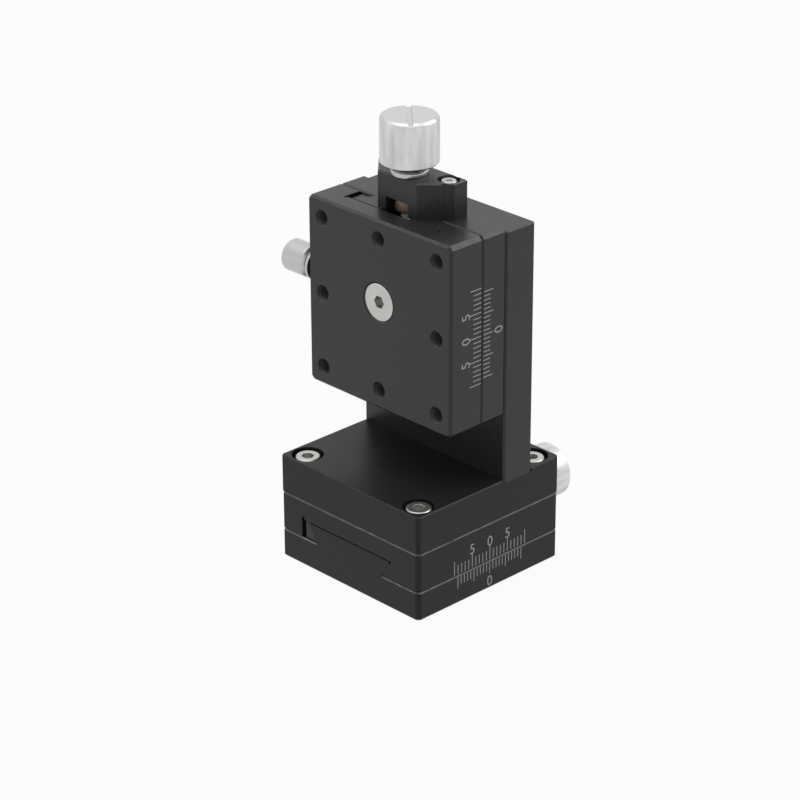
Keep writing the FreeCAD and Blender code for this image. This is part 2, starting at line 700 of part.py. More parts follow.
def make_end_bracket(stage):
    """Bracket on the base plate's end that holds the feed screw, within the dovetail's outline."""
    body = stage.body("end_bracket")
    half_nose = sizes.nose_width / 2
    half_ear = sizes.ear_width / 2
    plan = new_sketch(body, "XZ_Plane", half_side)
    outline(plan, [
        (-half_ear, sizes.ear_back), (half_ear, sizes.ear_back),
        (half_ear, sizes.ear_reach - sizes.ear_chamfer),
        (half_ear - sizes.ear_chamfer, sizes.ear_reach),
        (half_nose, sizes.nose_reach), (-half_nose, sizes.nose_reach),
        (sizes.ear_chamfer - half_ear, sizes.ear_reach),
        (-half_ear, sizes.ear_reach - sizes.ear_chamfer)])
    pad(body, plan, sizes.bracket_height, towards=1)

    def outer_rim(edge, ends):
        return straight(edge) and all(close(p.y, bracket_end.number) for p in ends)
    chamfer(body, sizes.bracket_edge, outer_rim)

    window = new_sketch(body, "XZ_Plane", half_side)
    half_window = sizes.window_width / 2
    rectangle(window, (-half_window, sizes.window_back), (half_window, sizes.nose_reach))
    cut(body, window, sizes.window_height, towards=1)

    bush_hole = new_sketch(body, "XZ_Plane", half_side)
    circles(bush_hole, [(zero, sizes.feed_height)], sizes.bush_size)
    cut(body, bush_hole, sizes.bracket_height, towards=1)

    half_row = sizes.bracket_screw_pitch / 2
    row = [(-half_row, sizes.bracket_screw_low), (half_row, sizes.bracket_screw_low)]
    screw_holes = new_sketch(body, "XZ_Plane", half_side)
    circles(screw_holes, row, sizes.small_hole)
    cut(body, screw_holes, sizes.bracket_height, towards=1)
    bores = new_sketch(body, "XZ_Plane", bracket_end)
    circles(bores, row, sizes.small_bore)
    cut(body, bores, bracket_end - head_seat, towards=-1)


def make_bracket_screws(stage):
    place = stage.place(-sizes.bracket_screw_pitch / 2, head_seat, sizes.bracket_screw_low)
    cap_screws(f"{stage.prefix}_bracket_screws", place, stage.turned_to(head_to_knob),
               sizes.small_screw, sizes.bracket_screw_length, sizes.small_head,
               sizes.small_head_high, sizes.small_key,
               [("X_Axis", sizes.bracket_screw_pitch, 2)])


def make_lock_plate(stage):
    """Slotted plate on the base plate's side. The lock screw clamps the carriage to it."""
    body = stage.body("lock_plate")
    near = sizes.lock_offset - sizes.plate_length / 2
    far = sizes.lock_offset + sizes.plate_length / 2
    corner = sizes.plate_corner
    face = new_sketch(body, "YZ_Plane", -half_side)
    outline(face, [
        (near + corner, sizes.plate_low), (far - corner, sizes.plate_low),
        (far, sizes.plate_low + corner), (far, plate_top - corner), (far - corner, plate_top),
        (near + corner, plate_top), (near, plate_top - corner),
        (near, sizes.plate_low + corner)])
    pad(body, face, sizes.plate_thick, towards=-1)

    def outer_rim(edge, ends):
        return straight(edge) and all(close(p.x, -plate_face.number) for p in ends)
    chamfer(body, sizes.edge_chamfer, outer_rim)

    relief = new_sketch(body, "YZ_Plane", -half_side)
    rectangle(relief, (near, sizes.base_thick), (far, plate_top))
    cut(body, relief, sizes.plate_relief, towards=-1)

    half_slot = (sizes.lock_size + sizes.plate_slot_play) / 2
    slot = new_sketch(body, "YZ_Plane", -half_side)
    rectangle(slot, (sizes.lock_offset - sizes.travel, sizes.lock_height - half_slot),
              (sizes.lock_offset + sizes.travel, sizes.lock_height + half_slot))
    cut(body, slot, sizes.plate_thick, towards=-1)
    for side in (-1, 1):
        slot_end = new_sketch(body, "YZ_Plane", -half_side)
        circles(slot_end, [(sizes.lock_offset + sizes.travel * side, sizes.lock_height)],
                half_slot * 2)
        cut(body, slot_end, sizes.plate_thick, towards=-1)

    half_row = sizes.plate_screw_pitch / 2
    row = [(sizes.lock_offset + side, sizes.plate_screw_low) for side in (-half_row, half_row)]
    holes = new_sketch(body, "YZ_Plane", -half_side)
    circles(holes, row, sizes.small_hole)
    cut(body, holes, sizes.plate_thick, towards=-1)
    bores = new_sketch(body, "YZ_Plane", -plate_face)
    circles(bores, row, sizes.small_bore)
    cut(body, bores, sizes.plate_head_high, towards=1)


def make_lock_plate_screws(stage):
    seat = plate_face - sizes.plate_head_high
    near = sizes.lock_offset - sizes.plate_screw_pitch / 2
    place = stage.place(-seat, near, sizes.plate_screw_low)
    cap_screws(f"{stage.prefix}_lock_plate_screws", place, stage.turned_to(head_to_side),
               sizes.small_screw, sizes.plate_screw_length, sizes.small_head,
               sizes.plate_head_high, sizes.small_key,
               [("Y_Axis", sizes.plate_screw_pitch, 2)])


def make_lock_screw(stage):
    """Thumb screw with a collar that bears on the lock plate."""
    place = stage.place(-half_side, sizes.lock_offset, sizes.lock_height)
    body = new_body(f"{stage.prefix}_lock_screw", place, stage.turned_to(head_to_side))
    shank = sizes.lock_size / 2 - sizes.thread_gap
    collar = sizes.lock_collar / 2
    neck = sizes.lock_neck / 2
    head = sizes.lock_head / 2
    seat = sizes.plate_thick + sizes.lock_seat_gap
    collar_end = seat + sizes.lock_collar_long
    shoulder = collar_end + sizes.lock_neck_long
    end = shoulder + sizes.lock_head_long
    bevel = sizes.lock_head_bevel
    turned(body, [
        (zero, -sizes.lock_engaged), (shank, -sizes.lock_engaged), (shank, seat),
        (collar, seat), (collar, collar_end), (neck, collar_end), (neck, shoulder),
        (head - bevel, shoulder), (head, shoulder + bevel), (head, end - bevel),
        (head - bevel, end), (zero, end)])


def make_stage(stage):
    make_base_plate(stage)
    make_carriage(stage)
    make_gib(stage)
    make_gib_screws(stage)
    make_feed_nut(stage)
    make_nut_screw(stage)
    make_feed_screw(stage)
    make_thrust_collar(stage)
    make_knob_bush(stage)
    make_feed_knob(stage)
    make_end_bracket(stage)
    make_bracket_screws(stage)
    make_lock_plate(stage)
    make_lock_plate_screws(stage)
    make_lock_screw(stage)


# Angle bracket between the stages: a foot plate and an upright plate

def make_foot_plate():
    body = new_body("foot_plate", (zero, zero, sizes.stage_height), Rotation())
    plan = new_sketch(body, "XY_Plane")
    rectangle(plan, (-half_side, -half_side), (half_side, half_side))
    pad(body, plan, sizes.foot_thick)
    chamfer(body, sizes.foot_corner, corner_edges(half_side, half_side))
    chamfer(body, sizes.foot_edge, rim_edges(sizes.foot_thick, half_side, half_side))

    channel = new_sketch(body, "XY_Plane", sizes.foot_thick)
    rectangle(channel, (-half_side, sizes.upright_front), (half_side, upright_back))
    cut(body, channel, sizes.channel_depth, towards=-1)

    holes = new_sketch(body, "XY_Plane", sizes.foot_thick)
    circles(holes, square_of_points(half_pitch), sizes.foot_hole)
    cut(body, holes, sizes.foot_thick, towards=-1)
    bores = new_sketch(body, "XY_Plane", sizes.foot_thick)
    circles(bores, square_of_points(half_pitch), sizes.foot_bore)
    cut(body, bores, sizes.foot_bore_depth, towards=-1)

    row = [(sizes.upright_screw_pitch * step, upright_middle) for step in (-1, 0, 1)]
    upright_holes = new_sketch(body, "XY_Plane")
    circles(upright_holes, row, sizes.upright_hole)
    cut(body, upright_holes, sizes.foot_thick, towards=1)
    upright_bores = new_sketch(body, "XY_Plane")
    circles(upright_bores, row, sizes.upright_bore)
    cut(body, upright_bores, sizes.upright_bore_depth, towards=1)


def make_upright():
    body = new_body("upright", (zero, upright_middle, upright_foot), Rotation())
    height = upright_top - upright_foot
    half_thick = sizes.upright_thick / 2
    plan = new_sketch(body, "XY_Plane")
    rectangle(plan, (-half_side, -half_thick), (half_side, half_thick))
    pad(body, plan, height)
    chamfer(body, sizes.upright_corner, corner_edges(half_side, half_thick))
    chamfer(body, sizes.foot_edge, rim_edges(height, half_side, half_thick))

    centre = upper_centre - upright_foot
    rows = [(side, centre + rise) for side in (-half_pitch, half_pitch)
            for rise in (-half_pitch, half_pitch)]
    base_threads = new_sketch(body, "XZ_Plane", -half_thick)
    circles(base_threads, rows, sizes.tapped_size)
    cut(body, base_threads, sizes.tapped_depth, towards=1)

    foot_threads = new_sketch(body, "XY_Plane")
    circles(foot_threads, [(sizes.upright_screw_pitch * step, zero) for step in (-1, 0, 1)],
            sizes.upright_screw)
    cut(body, foot_threads, sizes.upright_thread_depth, towards=1)


def make_bracket_fasteners(upper):
    square = [("X_Axis", half_pitch * 2, 2), ("Y_Axis", half_pitch * 2, 2)]
    cap_screws("foot_screws", (-half_pitch, -half_pitch, foot_top - sizes.foot_bore_depth),
               Rotation(), sizes.bolt_size, sizes.foot_screw_length, sizes.bolt_head,
               sizes.bolt_head_high, sizes.bolt_key, square)

    base_seat = sizes.base_thick - sizes.base_bore_depth
    cap_screws("z_base_screws", upper.place(-half_pitch, -half_pitch, base_seat),
               upper.rotation, sizes.tapped_size, sizes.base_screw_length, sizes.bolt_head,
               sizes.bolt_head_high, sizes.bolt_key, square)

    # Under the upright the heads point down, so the row runs the same way along x
    seat = sizes.stage_height + sizes.upright_bore_depth
    cap_screws("upright_screws", (-sizes.upright_screw_pitch, upright_middle, seat),
               Rotation(Vector(1, 0, 0), 180), sizes.upright_screw, sizes.upright_screw_length,
               sizes.upright_head, sizes.upright_head_high, sizes.upright_key,
               [("X_Axis", sizes.upright_screw_pitch * 2, 3)])


lower_stage = Stage("y", upright=False)
upper_stage = Stage("z", upright=True)
make_stage(lower_stage)
make_stage(upper_stage)
make_foot_plate()
make_upright()
make_bracket_fasteners(upper_stage)
doc.recompute()


# Checks before anything is written: no failed feature, every cut removes metal, every piece valid

def check_document():
    for item in doc.Objects:
        if "Invalid" in item.State or "Error" in item.State:
            raise RuntimeError(f"{item.Label} failed to build")
        removes = item.TypeId in ("PartDesign::Pocket", "PartDesign::Groove")
        if removes and not item.Shape.Volume < item.BaseFeature.Shape.Volume - 1e-6:
            raise RuntimeError(f"{item.Label} of {item.Label2} cuts nothing")
    for body in finished:
        if body.Shape.isNull() or not body.Shape.isValid():
            raise RuntimeError(f"{body.Label} has no valid solid")


check_document()
os.makedirs("parts", exist_ok=True)
for body in finished:
    body.Shape.exportStep(os.path.join("parts", f"{body.Label}.step"))
    box = body.Shape.BoundBox
    corner = f"{box.XMin:.2f} {box.YMin:.2f} {box.ZMin:.2f}"
    print(f"{body.Label}: {len(body.Shape.Solids)} solids, {body.Shape.Volume:.1f} mm3, from {corner}")
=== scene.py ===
import json
import math

import bmesh
import bpy
from mathutils import Matrix, Vector


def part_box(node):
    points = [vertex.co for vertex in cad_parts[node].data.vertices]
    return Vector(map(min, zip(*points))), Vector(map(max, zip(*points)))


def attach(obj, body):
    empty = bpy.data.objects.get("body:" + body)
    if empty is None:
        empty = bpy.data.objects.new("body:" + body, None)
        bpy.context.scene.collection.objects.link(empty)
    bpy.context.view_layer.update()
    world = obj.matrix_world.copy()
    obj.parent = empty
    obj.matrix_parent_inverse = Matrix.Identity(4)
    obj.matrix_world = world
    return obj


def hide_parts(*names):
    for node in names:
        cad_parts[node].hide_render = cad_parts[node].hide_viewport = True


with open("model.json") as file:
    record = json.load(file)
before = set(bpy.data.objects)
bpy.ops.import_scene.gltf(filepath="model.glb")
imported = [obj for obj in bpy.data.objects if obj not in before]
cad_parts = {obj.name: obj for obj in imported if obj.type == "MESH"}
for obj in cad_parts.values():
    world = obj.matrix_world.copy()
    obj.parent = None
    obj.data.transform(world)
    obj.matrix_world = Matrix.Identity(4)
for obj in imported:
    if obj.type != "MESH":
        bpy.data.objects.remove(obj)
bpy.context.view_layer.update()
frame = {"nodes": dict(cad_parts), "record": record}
nodes = frame["nodes"]
mm = 0.001
print("frame loaded with", len(nodes), "nodes")


def addToScene(name, data):
    thing = bpy.data.objects.new(name, data)
    bpy.context.scene.collection.objects.link(thing)
    return thing


# Camera, matched to the photograph

cameraView = {
    "azimuth": 46.041,      # degrees from -Y towards +X
    "elevation": 25.109,
    "roll": -0.21,
    "distance": 589.38 * mm,
    "target": (-2.740 * mm, -2.854 * mm, 35.207 * mm),
    "lens": 132.43,
    "sensor": 36,           # its width in millimetres, for a square picture
    "clip": (0.01, 20),     # nearest and farthest, in metres
}


def addCamera(view):
    turn, lift = math.radians(view["azimuth"]), math.radians(view["elevation"])
    back = Vector((math.sin(turn) * math.cos(lift), -math.cos(turn) * math.cos(lift),
                   math.sin(lift)))
    aim = back.to_track_quat("Z", "Y").to_matrix()
    aim = aim @ Matrix.Rotation(math.radians(view["roll"]), 3, "Z")
    data = bpy.data.cameras.new("photoCamera")
    data.sensor_fit = "HORIZONTAL"
    data.sensor_width = view["sensor"]
    data.lens = view["lens"]
    data.clip_start, data.clip_end = view["clip"]
    camera = addToScene("photoCamera", data)
    place = Vector(view["target"]) + back * view["distance"]
    camera.matrix_world = Matrix.Translation(place) @ aim.to_4x4()
    bpy.context.scene.camera = camera


addCamera(cameraView)
print("camera placed")


# Where each stage stands. Its own frame has x across, y along the travel towards the knob
# and z up from the base plate's underside.

lowBase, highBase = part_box("y_base_plate")
lowerPlace = Matrix.Translation(((lowBase.x + highBase.x) / 2, (lowBase.y + highBase.y) / 2,
                                 lowBase.z))
lowFront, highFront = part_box("z_base_plate")
upperPlace = Matrix.Translation(((lowFront.x + highFront.x) / 2, highFront.y,
                                 (lowFront.z + highFront.z) / 2))
upperPlace = upperPlace @ Matrix.Rotation(math.radians(90), 4, "X")

stages = {
    "y": {"place": lowerPlace, "base": "lower_base", "slide": "middle", "feed": "lower_feed",
          "lock": "lower_lock"},
    "z": {"place": upperPlace, "base": "middle", "slide": "front_carriage", "feed": "upper_feed",
          "lock": "upper_lock"},
}


def stageBox(prefix, node):
    # A node's corners in its stage's own frame
    home = stages[prefix]["place"].inverted()
    corners = [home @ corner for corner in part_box(f"{prefix}_{node}")]
    low = Vector([min(corner[axis] for corner in corners) for axis in range(3)])
    high = Vector([max(corner[axis] for corner in corners) for axis in range(3)])
    return low, high


# Material helpers

def newMaterial(name):
    material = bpy.data.materials.new(name)
    material.use_nodes = True
    tree = material.node_tree
    return material, tree, tree.nodes["Principled BSDF"]


def addNode(tree, kind, **values):
    node = tree.nodes.new(kind)
    for key, value in values.items():
        setattr(node, key, value)
    return node


def link(tree, fromSocket, toSocket):
    tree.links.new(fromSocket, toSocket)


def newGroup(name, inputs, outputs):
    group = bpy.data.node_groups.new(name, "ShaderNodeTree")
    for label, kind, value in inputs:
        socket = group.interface.new_socket(label, in_out="INPUT", socket_type=kind)
        socket.default_value = value
    for label, kind in outputs:
        group.interface.new_socket(label, in_out="OUTPUT", socket_type=kind)
    return group, group.nodes.new("NodeGroupInput"), group.nodes.new("NodeGroupOutput")


def useGroup(tree, group, **values):
    node = addNode(tree, "ShaderNodeGroup", node_tree=group)
    for label, value in values.items():
        node.inputs[label].default_value = value
    return node


def maths(tree, operation, first, second=0.0, clamp=False):
    # A Math node on one or two sockets or numbers
    node = addNode(tree, "ShaderNodeMath", operation=operation, use_clamp=clamp)
    for index, value in enumerate((first, second)):
        if isinstance(value, (int, float)):
            node.inputs[index].default_value = value
        else:
            link(tree, value, node.inputs[index])
    return node.outputs[0]


def mixColours(tree, mask, first, second):
    node = addNode(tree, "ShaderNodeMix", data_type="RGBA")
    link(tree, mask, node.inputs["Factor"])
    for socket, value in ((node.inputs[6], first), (node.inputs[7], second)):
        if isinstance(value, tuple):
            socket.default_value = (*value, 1)
        else:
            link(tree, value, socket)
    return node.outputs[2]


def noise(tree, coordinate, scale, detail, **values):
    # A noise pattern whose scale is a number or a socket
    node = addNode(tree, "ShaderNodeTexNoise", **values)
    node.inputs["Detail"].default_value = detail
    link(tree, coordinate, node.inputs["Vector"])
    if isinstance(scale, (int, float)):
        node.inputs["Scale"].default_value = scale
    else:
        link(tree, scale, node.inputs["Scale"])
    return node.outputs["Fac"]


def objectCoordinate(tree):
    return addNode(tree, "ShaderNodeTexCoord").outputs["Object"]


# Shared effects

marks = {
    "edgeGain": 7.0,              # how fast the edge mask rises as the normal bends
    "patchDetail": 3.0,
    "grainDetail": 2.0,
    "speckScale": 420.0,
    "speckRadius": 0.05,
    "speckPatches": 300.0,        # scale of the patches that keep some of the specks
    "speckShare": 0.62,           # patches over this value keep them
    "reflectionBandScale": 3.2,
    "reflectionBandRise": 30.0,           # how fast the painted reflection bands change along the axis
    "reflectionBandGain": 1.8,
    "sideFrom": 0.84,             # share of the radius where the round side starts
    "sideGain": 8.0,
    "slopeGain": 6.0,             # how narrow the mask of the painted chamfer highlight is round its slope
}


def buildEdgeGroup():
    # Finds edges: a mask where the rounded normal leaves the flat one, and the rounded normal
    group, inside, outside = newGroup("edgeSoftening", [
        ("Width", "NodeSocketFloat", 0.0003), ("Breaks", "NodeSocketFloat", 900.0)],
        [("Mask", "NodeSocketFloat"), ("Normal", "NodeSocketVector")])
    rounded = addNode(group, "ShaderNodeBevel", samples=6)
    link(group, inside.outputs["Width"], rounded.inputs["Radius"])
    geometry = addNode(group, "ShaderNodeNewGeometry")
    dot = addNode(group, "ShaderNodeVectorMath", operation="DOT_PRODUCT")
    link(group, rounded.outputs["Normal"], dot.inputs[0])
    link(group, geometry.outputs["Normal"], dot.inputs[1])
    bent = maths(group, "SUBTRACT", 1.0, dot.outputs["Value"], clamp=True)
    bent = maths(group, "MULTIPLY", bent, marks["edgeGain"], clamp=True)
    patches = noise(group, objectCoordinate(group), inside.outputs["Breaks"], marks["patchDetail"])
    link(group, maths(group, "MULTIPLY", bent, patches), outside.inputs["Mask"])
    link(group, rounded.outputs["Normal"], outside.inputs["Normal"])
    return group


def buildGrainGroup():
    # Fine bead-blasted grain, broad cloudiness and a few small specks
    group, inside, outside = newGroup("surfaceGrain", [
        ("Grain Scale", "NodeSocketFloat", 9000.0), ("Cloud Scale", "NodeSocketFloat", 60.0)],
        [("Grain", "NodeSocketFloat"), ("Cloud", "NodeSocketFloat"),
         ("Specks", "NodeSocketFloat")])
    coordinate = objectCoordinate(group)
    for label, detail in (("Grain", marks["grainDetail"]), ("Cloud", marks["patchDetail"])):
        pattern = noise(group, coordinate, inside.outputs[f"{label} Scale"], detail)
        link(group, pattern, outside.inputs[label])
    cells = addNode(group, "ShaderNodeTexVoronoi", feature="F1")
    cells.inputs["Scale"].default_value = marks["speckScale"]
    link(group, coordinate, cells.inputs["Vector"])
    near = maths(group, "LESS_THAN", cells.outputs["Distance"], marks["speckRadius"])
    patches = noise(group, coordinate, marks["speckPatches"], marks["grainDetail"])
    few = maths(group, "GREATER_THAN", patches, marks["speckShare"])
    link(group, maths(group, "MULTIPLY", near, few), outside.inputs["Specks"])
    return group


def combine(tree, x=None, y=None, z=None):
    node = addNode(tree, "ShaderNodeCombineXYZ")
    for index, socket in enumerate((x, y, z)):
        if socket is not None:
            link(tree, socket, node.inputs[index])
    return node.outputs[0]


def buildTurningGroup():
    # Lathe marks round an axis: the input places the piece's axis on z, and lines follow both
    # the radius on flat ends and the height on round sides
    group, inside, outside = newGroup("turningMarks", [
        ("Vector", "NodeSocketVector", (0.0, 0.0, 0.0)), ("Lines", "NodeSocketFloat", 7000.0),
        ("Side", "NodeSocketFloat", 0.005)],
        [("Lines", "NodeSocketFloat"), ("Streaks", "NodeSocketFloat")])
    parts = addNode(group, "ShaderNodeSeparateXYZ")
    link(group, inside.outputs["Vector"], parts.inputs[0])
    x, y, z = parts.outputs
    radius = maths(group, "SQRT", maths(group, "ADD", maths(group, "MULTIPLY", x, x),
                                        maths(group, "MULTIPLY", y, y)))
    lines = noise(group, combine(group, radius, z), inside.outputs["Lines"],
                  marks["patchDetail"], noise_dimensions="2D")
    link(group, lines, outside.inputs["Lines"])
    # Painted reflection bands along the axis, on the round side only
    outwards = addNode(group, "ShaderNodeVectorMath", operation="NORMALIZE")
    link(group, combine(group, x, y), outwards.inputs[0])
    ring = addNode(group, "ShaderNodeVectorMath", operation="ADD")
    link(group, outwards.outputs[0], ring.inputs[0])
    rise = maths(group, "MULTIPLY", z, marks["reflectionBandRise"])
    link(group, combine(group, z=rise), ring.inputs[1])
    reflectionBands = noise(group, ring.outputs[0], marks["reflectionBandScale"], marks["patchDetail"])
    near = maths(group, "DIVIDE", radius, inside.outputs["Side"])
    near = maths(group, "MULTIPLY", maths(group, "SUBTRACT", near, marks["sideFrom"]),
                 marks["sideGain"], clamp=True)
    swing = maths(group, "MULTIPLY", maths(group, "SUBTRACT", reflectionBands, 0.5), near)
    swing = maths(group, "MULTIPLY", swing, marks["reflectionBandGain"])
    link(group, maths(group, "ADD", swing, 0.5, clamp=True), outside.inputs["Streaks"])
    return group


def buildChamferGroup():
    # Finds the upward sloping faces of chamfers, which get a painted highlight as if a top light
    # caught them; patches break it up
    group, inside, outside = newGroup("paintedChamferHighlight", [
        ("Slope", "NodeSocketFloat", 0.707), ("Breaks", "NodeSocketFloat", 500.0)],
        [("Mask", "NodeSocketFloat")])
    geometry = addNode(group, "ShaderNodeNewGeometry")
    parts = addNode(group, "ShaderNodeSeparateXYZ")
    link(group, geometry.outputs["True Normal"], parts.inputs[0])
    away = maths(group, "SUBTRACT", parts.outputs[2], inside.outputs["Slope"])
    away = maths(group, "MULTIPLY", maths(group, "ABSOLUTE", away), marks["slopeGain"])
    sloping = maths(group, "SUBTRACT", 1.0, away, clamp=True)
    patches = noise(group, objectCoordinate(group), inside.outputs["Breaks"], marks["patchDetail"])
    link(group, maths(group, "MULTIPLY", sloping, patches), outside.inputs["Mask"])
    return group


edgeGroup = buildEdgeGroup()
chamferHighlightGroup = buildChamferGroup()
grainGroup = buildGrainGroup()
turningGroup = buildTurningGroup()


def addBump(tree, shader, height, look, normal=None):
    bump = addNode(tree, "ShaderNodeBump")
    bump.inputs["Strength"].default_value = look["bump"]
    bump.inputs["Distance"].default_value = look["bumpHeight"]
    link(tree, height, bump.inputs["Height"])
    if normal is not None:
        link(tree, normal, bump.inputs["Normal"])
    link(tree, bump.outputs["Normal"], shader.inputs["Normal"])


# Black anodised aluminium of the blocks and brackets

# The foot and lower stage are darker, duller copies of the upper stage's coat: painted shade
anodised = {
    "upperAnodised": {             # upper stage and upright
        "deep": (0.0170, 0.0168, 0.0174), "faded": (0.0235, 0.0225, 0.0238),
        "wornAndLitEdge": (0.12, 0.12, 0.124), "thinFillAndChamferHighlight": (0.08, 0.08, 0.082), "specular": 0.36,
        "roughness": 0.26},
    "footShadedAnodised": {              # foot, a darker and duller copy as painted shade
        "deep": (0.0145, 0.0142, 0.0152), "faded": (0.0190, 0.0181, 0.0195),
        "wornAndLitEdge": (0.09, 0.09, 0.093), "thinFillAndChamferHighlight": (0.05, 0.05, 0.052), "specular": 0.20,
        "roughness": 0.30},
    "lowerShadedAnodised": {             # lower stage, of the same bath with barer chamfers
        # lower stage, as dark and dull as the foot as painted shade, with a bright painted
        # highlight on its upward chamfers
        "deep": (0.0140, 0.0137, 0.0147), "faded": (0.0185, 0.0176, 0.0190),
        "wornAndLitEdge": (0.12, 0.12, 0.124), "thinFillAndChamferHighlight": (0.33, 0.33, 0.335), "specular": 0.20,
        "roughness": 0.27},
}
anodisedGrain = {
    "edgeWidth": 0.10 * mm, "specks": 0.35, "roughnessSpread": 0.10, "bump": 0.12,
    "bumpHeight": 0.01 * mm,
}


def makeAnodised(name, look, grainLook):
    material, tree, shader = newMaterial(name)
    edges = useGroup(tree, edgeGroup, Width=grainLook["edgeWidth"])
    grain = useGroup(tree, grainGroup)
    chamfers = useGroup(tree, chamferHighlightGroup)
    body = mixColours(tree, grain.outputs["Cloud"], look["deep"], look["faded"])
    # Upward chamfers take a lighter colour: a painted highlight
    body = mixColours(tree, chamfers.outputs["Mask"], body, look["thinFillAndChamferHighlight"])
    # Edges and specks take a lighter colour: the specks are real rubbed marks, and the edge colour
    # is partly real rubbing and partly a painted highlight
    specks = maths(tree, "MULTIPLY", grain.outputs["Specks"], grainLook["specks"])
    wearAndEdgeHighlight = maths(tree, "ADD", edges.outputs["Mask"], specks, clamp=True)
    link(tree, mixColours(tree, wearAndEdgeHighlight, body, look["wornAndLitEdge"]), shader.inputs["Base Color"])
    shader.inputs["Specular IOR Level"].default_value = look["specular"]
    broad = maths(tree, "MULTIPLY", grain.outputs["Cloud"], grainLook["roughnessSpread"])
    fine = maths(tree, "MULTIPLY", grain.outputs["Grain"], grainLook["roughnessSpread"])
    rough = maths(tree, "ADD", maths(tree, "ADD", broad, fine), look["roughness"])
    link(tree, rough, shader.inputs["Roughness"])
    addBump(tree, shader, grain.outputs["Grain"], grainLook, edges.outputs["Normal"])
    return material


# Clear turned aluminium of the knobs and lock screws

# The light and dark colours make painted reflection bands round the axis
turned = {
    "feed_knob": {"along": "feed", "light": (0.74, 0.74, 0.735), "dark": (0.46, 0.46, 0.455),
                  "roughness": 0.24, "radius": 5.85 * mm},
    "lock_screw": {"along": "lock", "light": (0.56, 0.56, 0.555), "dark": (0.48, 0.48, 0.475),
                   "roughness": 0.30, "radius": 3.35 * mm},
}
turnedLines = {
    "edgeWidth": 0.06 * mm, "roughnessSpread": 0.16, "bump": 0.6, "bumpHeight": 0.02 * mm,
}


def makeTurned(name, look, linesLook, place):
    # place is the piece's own frame, its axis on z
    material, tree, shader = newMaterial(name)
    centred = addNode(tree, "ShaderNodeMapping", vector_type="TEXTURE")
    centred.inputs["Location"].default_value = place.to_translation()
    centred.inputs["Rotation"].default_value = place.to_euler()
    link(tree, objectCoordinate(tree), centred.inputs["Vector"])
    turning = useGroup(tree, turningGroup, Side=look["radius"])
    link(tree, centred.outputs["Vector"], turning.inputs["Vector"])
    edges = useGroup(tree, edgeGroup, Width=linesLook["edgeWidth"])
    # Painted reflection bands between the dark and light colours
    colour = mixColours(tree, turning.outputs["Streaks"], look["dark"], look["light"])
    link(tree, colour, shader.inputs["Base Color"])
    shader.inputs["Metallic"].default_value = 1.0
    lines = maths(tree, "MULTIPLY", turning.outputs["Lines"], linesLook["roughnessSpread"])
    link(tree, maths(tree, "ADD", lines, look["roughness"]), shader.inputs["Roughness"])
    addBump(tree, shader, turning.outputs["Lines"], linesLook, edges.outputs["Normal"])
    return material


# Screws, brass pieces, feed screws and the threads in the holes, near black as painted shade,
# share one recipe of grain over metal

metalLooks = {
    "nickelPlate": {"base": (0.60, 0.595, 0.58), "stain": (0.49, 0.48, 0.46),
                    "metallic": 1.0, "roughness": 0.32, "edgeWidth": 0.10 * mm},
    "blackOxide": {"base": (0.030, 0.030, 0.033), "stain": (0.055, 0.052, 0.050),
                   "metallic": 0.6, "roughness": 0.33, "edgeWidth": 0.10 * mm},
    # Darkened as painted shade on the collar inside the bracket's window
    "shadeDarkenedBrass": {"base": (0.30, 0.215, 0.18), "stain": (0.21, 0.145, 0.12),
                    "metallic": 1.0, "roughness": 0.34, "edgeWidth": 0.10 * mm},
    "groundSteel": {"base": (0.50, 0.50, 0.50), "stain": (0.38, 0.37, 0.36),
                    "metallic": 1.0, "roughness": 0.28, "edgeWidth": 0.05 * mm},
    # near black, as painted shade inside the holes
    "threadShadeBlack": {"base": (0.006, 0.006, 0.006), "stain": (0.014, 0.013, 0.012),
                    "metallic": 0.0, "roughness": 0.55, "edgeWidth": 0.05 * mm},
}
metalGrain = {
    "cloudScale": 350.0, "roughnessSpread": 0.14, "bump": 0.10, "bumpHeight": 0.006 * mm,
}


def makeMetal(name, look, grainLook):
    material, tree, shader = newMaterial(name)
    edges = useGroup(tree, edgeGroup, Width=look["edgeWidth"])
    grain = useGroup(tree, grainGroup)
    grain.inputs["Cloud Scale"].default_value = grainLook["cloudScale"]
    link(tree, mixColours(tree, grain.outputs["Cloud"], look["stain"], look["base"]),
         shader.inputs["Base Color"])
    shader.inputs["Metallic"].default_value = look["metallic"]
    fine = maths(tree, "MULTIPLY", grain.outputs["Grain"], grainLook["roughnessSpread"])
    link(tree, maths(tree, "ADD", fine, look["roughness"]), shader.inputs["Roughness"])
    addBump(tree, shader, grain.outputs["Grain"], grainLook, edges.outputs["Normal"])
    return material


# White filling of the engraved scales

engraving = {
    "white": (0.55, 0.56, 0.57), "thinFillAndChamferHighlight": (0.30, 0.305, 0.31), "patchScale": 2600.0,
    "roughness": 0.6, "roughnessSpread": 0.2, "bump": 0.2, "bumpHeight": 0.01 * mm,
}


def makeEngraving(look):
    material, tree, shader = newMaterial("engravedWhite")
    patches = noise(tree, objectCoordinate(tree), look["patchScale"], marks["patchDetail"])
    link(tree, mixColours(tree, patches, look["thinFillAndChamferHighlight"], look["white"]),
         shader.inputs["Base Color"])
    uneven = maths(tree, "MULTIPLY", patches, look["roughnessSpread"])
    link(tree, maths(tree, "ADD", uneven, look["roughness"]), shader.inputs["Roughness"])
    addBump(tree, shader, patches, look)
    return material


blacks = {name: makeAnodised(name, look, anodisedGrain) for name, look in anodised.items()}
metals = {name: makeMetal(name, look, metalGrain) for name, look in metalLooks.items()}
white = makeEngraving(engraving)
print("materials made")


